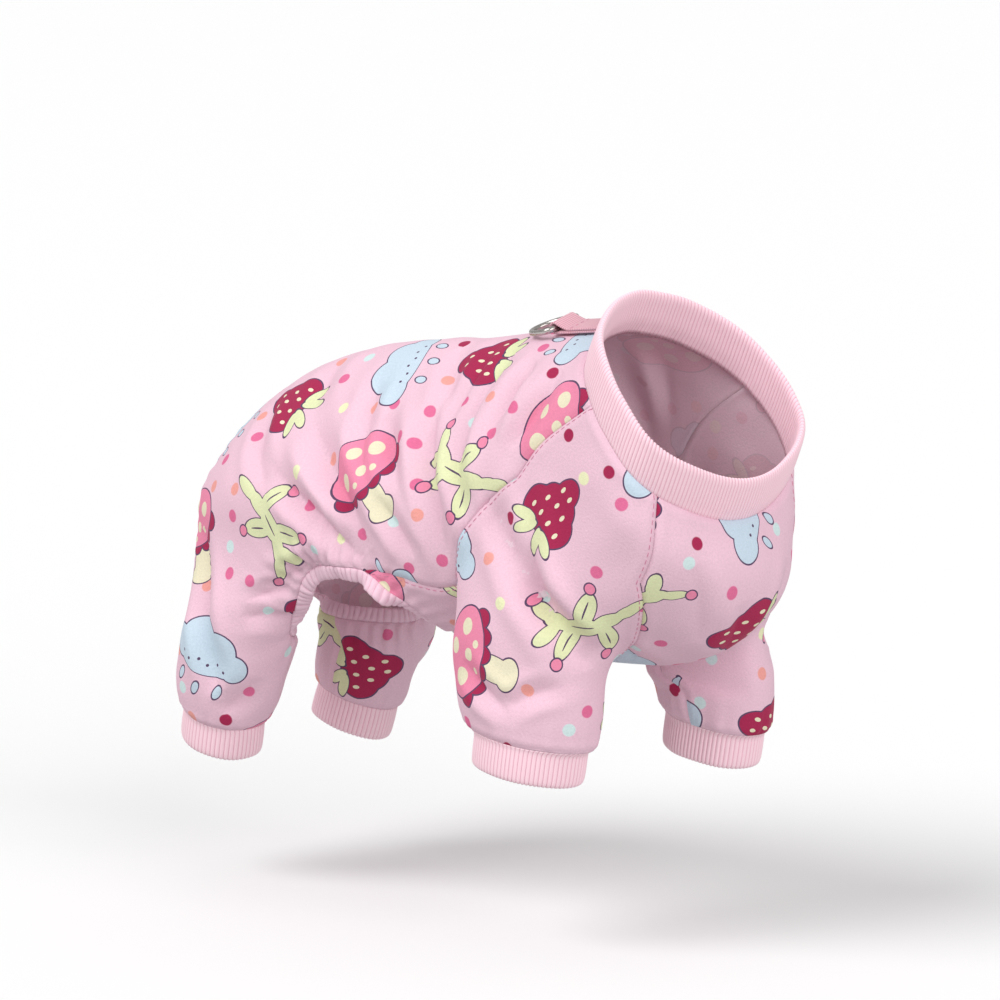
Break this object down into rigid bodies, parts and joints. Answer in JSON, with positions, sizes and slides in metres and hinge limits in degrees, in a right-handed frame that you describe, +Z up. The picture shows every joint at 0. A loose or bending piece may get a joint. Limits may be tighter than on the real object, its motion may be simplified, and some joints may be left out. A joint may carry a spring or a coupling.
{
  "type": "dog jumpsuit",
  "caption": "Small dog's jumpsuit in printed stretch jersey with full sleeves and legs, rib neckband and cuffs, open rear belly and tail edge, and a leash ring on a back tab.",
  "frame": {"origin": "inside of the back on the middle line, a little behind the neck seam, where the garment rests when worn", "axes": "+X towards the neck opening, +Y to the left side, +Z up"},
  "size_m": [0.2657, 0.1183, 0.1952],
  "materials": {
    "printed_jersey": "soft printed jersey",
    "pink_rib_knit": "rib knit",
    "gathered_jersey": "gathered elastic binding",
    "strap_cloth": "folded woven strap",
    "nickel_plate": "polished nickel plate"
  },
  "bodies": {
    "garment": {"body_panel": "printed_jersey", "chest_belly_panel": "printed_jersey", "sleeve_right": "printed_jersey", "sleeve_left": "printed_jersey", "neckband": "pink_rib_knit", "front_cuff_right": "pink_rib_knit", "front_cuff_left": "pink_rib_knit", "hind_cuff_right": "pink_rib_knit", "hind_cuff_left": "pink_rib_knit", "opening_binding": "gathered_jersey", "leash_tab": "strap_cloth"},
    "ring": {"leash_ring": "nickel_plate"}
  },
  "joints": [
    {"name": "ring_hinge", "type": "hinge", "parent": "garment", "child": "ring", "pos_m": [-0.0006, -0.009, 0.0037], "axis": [0, 0.9659, 0.2588], "range_deg": [0, 175]}
  ]
}
